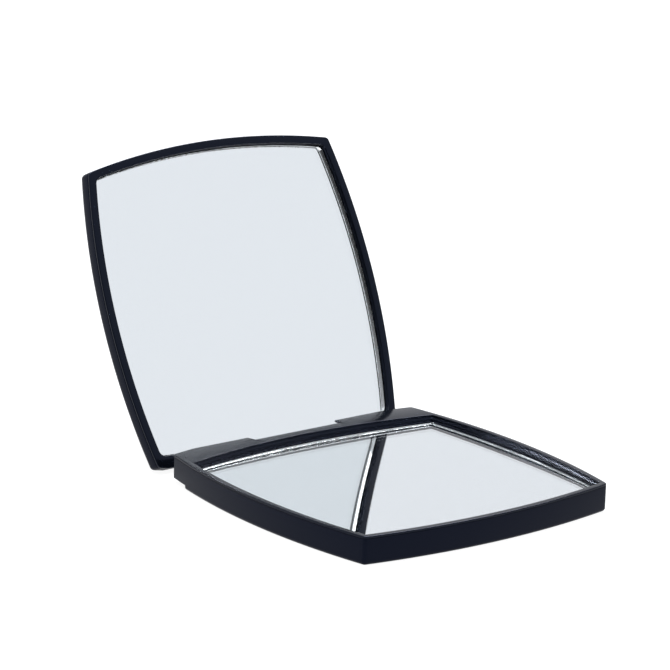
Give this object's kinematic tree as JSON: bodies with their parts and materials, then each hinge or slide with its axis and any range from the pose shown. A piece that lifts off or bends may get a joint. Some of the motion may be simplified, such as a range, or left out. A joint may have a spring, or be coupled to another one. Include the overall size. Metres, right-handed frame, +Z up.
{
  "type": "two-mirror compact",
  "caption": "Square pocket compact with bowed sides standing open: satin black shells, a hollow mirror in the base, a flat one in the lid, and a notched rear hinge.",
  "frame": {"origin": "middle of the base's underside", "axes": "+X along the hinge line, +Y from the front edge to the hinge, +Z up; the lid stands open over +Y"},
  "size_m": [0.066, 0.0966, 0.0582],
  "materials": {
    "shell_black": "satin blue-black, fine moulded grain",
    "frame_black": "polished black with a soft rim",
    "silvered_glass": "glass silvered on its back, front corner ground off",
    "foam_tape": "double-sided foam tape",
    "pin_steel": "drawn wire"
  },
  "bodies": {
    "base": {"base_shell": "shell_black", "base_frame": "frame_black", "base_mirror": "silvered_glass", "base_mirror_pad": "foam_tape", "hinge_pin_left": "pin_steel", "hinge_pin_right": "pin_steel"},
    "lid": {"lid_cover": "shell_black", "lid_frame": "frame_black", "lid_mirror": "silvered_glass", "lid_mirror_pad": "foam_tape"}
  },
  "joints": [
    {"name": "lid_hinge", "type": "hinge", "parent": "base", "child": "lid", "pos_m": [0, 0.03068, 0.00234], "axis": [1, 0, 0], "range_deg": [0, 115.2]}
  ]
}
